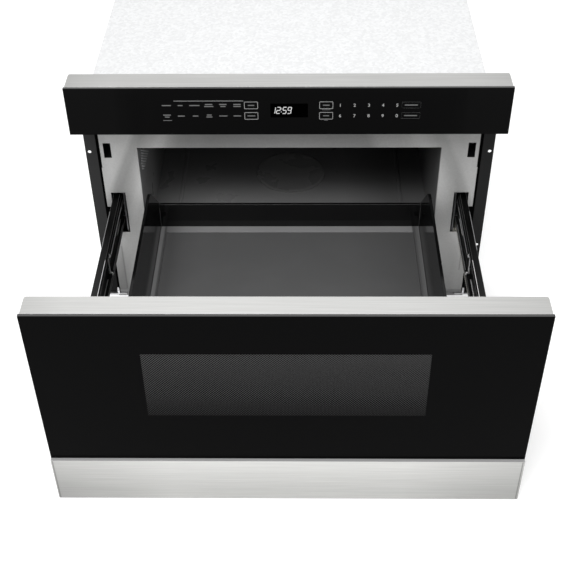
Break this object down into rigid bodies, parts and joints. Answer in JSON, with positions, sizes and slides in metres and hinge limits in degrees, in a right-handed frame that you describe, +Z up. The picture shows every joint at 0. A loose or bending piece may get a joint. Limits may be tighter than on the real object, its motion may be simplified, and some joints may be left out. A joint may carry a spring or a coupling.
{
  "type": "microwave drawer",
  "caption": "Built-in microwave oven whose tray and glass front run out as a drawer on ball slides, with a glass touch panel above and a steel case behind.",
  "frame": {"origin": "on the underside of the base plate, in the middle of its width and halfway between the cabinet's front face and the rear panel", "axes": "+X to the right of someone facing the oven, +Y away from them into the cabinet, +Z up; the drawer is stored run out along -Y"},
  "size_m": [0.6064, 0.9631, 0.4016],
  "materials": {
    "stainless": "satin",
    "face_steel": "satin",
    "zinc_steel": "zinc plated",
    "black_paint": "satin",
    "flange_paint": "matte",
    "enamel": "gloss",
    "grey_paint": "matte",
    "black_glass": "polished",
    "clear_glass": "polished",
    "floor_glass": "polished",
    "black_plastic": "matte",
    "white_plastic": "matte",
    "board": "satin",
    "aluminium": "satin",
    "core_steel": "matte",
    "gear_plastic": "satin"
  },
  "bodies": {
    "chassis": {"control_housing": "stainless", "face_plate": "face_steel", "corner_bracket_left": "zinc_steel", "corner_bracket_right": "zinc_steel", "antenna_motor": "zinc_steel", "fan_motor": "zinc_steel", "chassis_slide_member_left": "zinc_steel", "chassis_slide_member_right": "zinc_steel", "slide_support_left": "zinc_steel", "slide_support_right": "zinc_steel", "mounting_flange_left": "flange_paint", "mounting_flange_right": "flange_paint", "oven_cavity": "enamel", "outer_case": "grey_paint", "base_plate": "grey_paint", "rear_panel": "grey_paint", "control_glass": "black_glass", "display_module": "black_plastic", "fan_housing": "black_plastic", "air_duct": "black_plastic", "drawer_motor": "black_plastic", "cord_gland": "black_plastic", "antenna_cover": "white_plastic", "oven_lamp": "white_plastic", "latch_switch_left": "white_plastic", "latch_switch_right": "white_plastic", "control_board": "board", "noise_filter": "board", "waveguide": "aluminium", "magnetron": "aluminium", "high_voltage_capacitor": "aluminium", "high_voltage_transformer": "core_steel"},
    "drawer": {"door_frame": "stainless", "drawer_glass": "black_glass", "bottom_trim": "stainless", "window_screen": "black_paint", "inner_panel": "enamel", "choke_cover": "black_plastic", "inner_window": "clear_glass", "tray_side_left": "enamel", "tray_side_right": "enamel", "tray_rear_wall": "enamel", "tray_pan": "enamel", "glass_floor": "floor_glass", "drawer_rail_left": "black_paint", "drawer_rail_right": "black_paint", "drawer_slide_member_left": "black_paint", "drawer_slide_member_right": "black_paint", "latch_hook_left": "black_plastic", "latch_hook_right": "black_plastic", "drive_rack": "gear_plastic"},
    "middle_left": {"middle_slide_member_left": "black_paint"},
    "middle_right": {"middle_slide_member_right": "black_paint"},
    "outer_retainer_left": {"outer_ball_retainer_left": "zinc_steel"},
    "outer_retainer_right": {"outer_ball_retainer_right": "zinc_steel"},
    "inner_retainer_left": {"inner_ball_retainer_left": "zinc_steel"},
    "inner_retainer_right": {"inner_ball_retainer_right": "zinc_steel"},
    "pinion": {"drive_pinion": "gear_plastic"},
    "fan": {"fan_impeller": "black_plastic"},
    "stirrer": {"antenna": "aluminium"}
  },
  "joints": [
    {"name": "drawer_slide", "type": "slide", "parent": "chassis", "child": "drawer", "axis": [0, 1, 0], "range_m": [0, 0.3667]},
    {"name": "middle_left_slide", "type": "slide", "parent": "chassis", "child": "middle_left", "axis": [0, 1, 0], "range_m": [0, 0.18385]},
    {"name": "outer_retainer_left_slide", "type": "slide", "parent": "chassis", "child": "outer_retainer_left", "axis": [0, 1, 0], "range_m": [0, 0.27553]},
    {"name": "inner_retainer_left_slide", "type": "slide", "parent": "chassis", "child": "inner_retainer_left", "axis": [0, 1, 0], "range_m": [0, 0.09218]},
    {"name": "middle_right_slide", "type": "slide", "parent": "chassis", "child": "middle_right", "axis": [0, 1, 0], "range_m": [0, 0.18385]},
    {"name": "outer_retainer_right_slide", "type": "slide", "parent": "chassis", "child": "outer_retainer_right", "axis": [0, 1, 0], "range_m": [0, 0.27553]},
    {"name": "inner_retainer_right_slide", "type": "slide", "parent": "chassis", "child": "inner_retainer_right", "axis": [0, 1, 0], "range_m": [0, 0.09218]},
    {"name": "pinion_spin", "type": "hinge", "parent": "chassis", "child": "pinion", "pos_m": [0.2594, -0.252, 0.11392], "axis": [1, 0, 0], "range_deg": [-1402, 0]},
    {"name": "fan_spin", "type": "hinge", "parent": "chassis", "child": "fan", "pos_m": [-0.076, 0.212, 0.118], "axis": [1, 0, 0], "continuous": true},
    {"name": "antenna_spin", "type": "hinge", "parent": "chassis", "child": "stirrer", "pos_m": [0, -0.076, 0.091], "axis": [0, 0, 1], "continuous": true}
  ],
  "couplings": [
    {"joint": "middle_left_slide", "follows": "drawer_slide", "ratio": 0.5},
    {"joint": "outer_retainer_left_slide", "follows": "drawer_slide", "ratio": 0.75},
    {"joint": "inner_retainer_left_slide", "follows": "drawer_slide", "ratio": 0.25},
    {"joint": "middle_right_slide", "follows": "drawer_slide", "ratio": 0.5},
    {"joint": "outer_retainer_right_slide", "follows": "drawer_slide", "ratio": 0.75},
    {"joint": "inner_retainer_right_slide", "follows": "drawer_slide", "ratio": 0.25},
    {"joint": "pinion_spin", "follows": "drawer_slide", "rad_per_m": -66.667}
  ]
}
